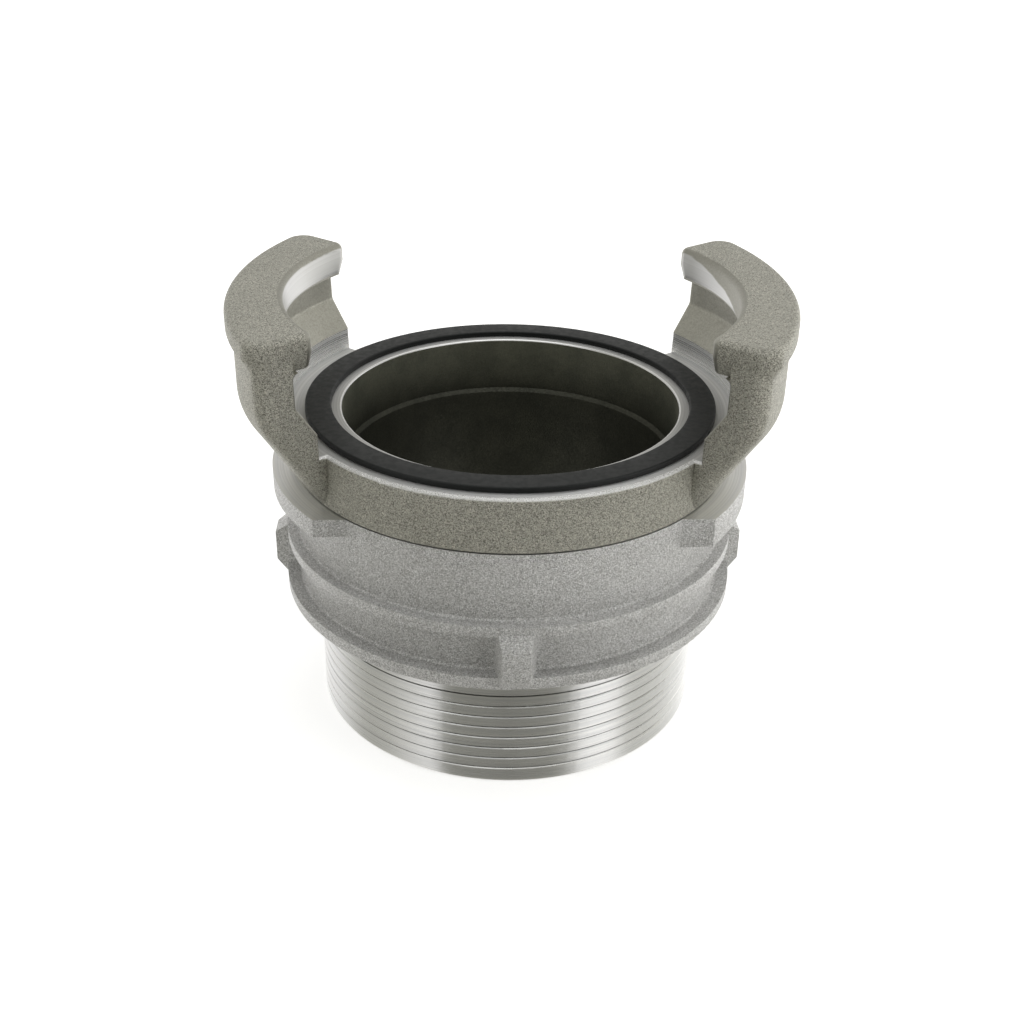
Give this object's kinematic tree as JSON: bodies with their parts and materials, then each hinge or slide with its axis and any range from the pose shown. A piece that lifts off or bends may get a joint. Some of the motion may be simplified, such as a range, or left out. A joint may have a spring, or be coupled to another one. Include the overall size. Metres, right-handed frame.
{
  "type": "fire hose coupling",
  "caption": "Quarter turn half coupling for a fire hose: claws round a sealed mouth, a turning locking ring with cam wings, and a tail for a parallel pipe thread",
  "frame": {"origin": "centre of the threaded tail's end face, on the bore axis, which is the lowest point when the part stands on its tail", "axes": "+Z along the bore from the tail to the sealing face; the two claws lie on +X and -X"},
  "size_m": [0.1032, 0.0918, 0.0842],
  "materials": {
    "body_casting": "sand cast, turned where it seats",
    "seal_rubber": "matte",
    "ring_casting": "fine cast",
    "spring_steel": "bright"
  },
  "bodies": {
    "body": {"coupling_body": "body_casting", "face_seal": "seal_rubber", "retaining_ring": "spring_steel"},
    "ring": {"locking_ring": "ring_casting"}
  },
  "joints": [
    {"name": "ring_turn", "type": "hinge", "parent": "body", "child": "ring", "pos_m": [0, 0, 0.0383], "axis": [0, 0, 1], "range_deg": [0, 90]}
  ]
}
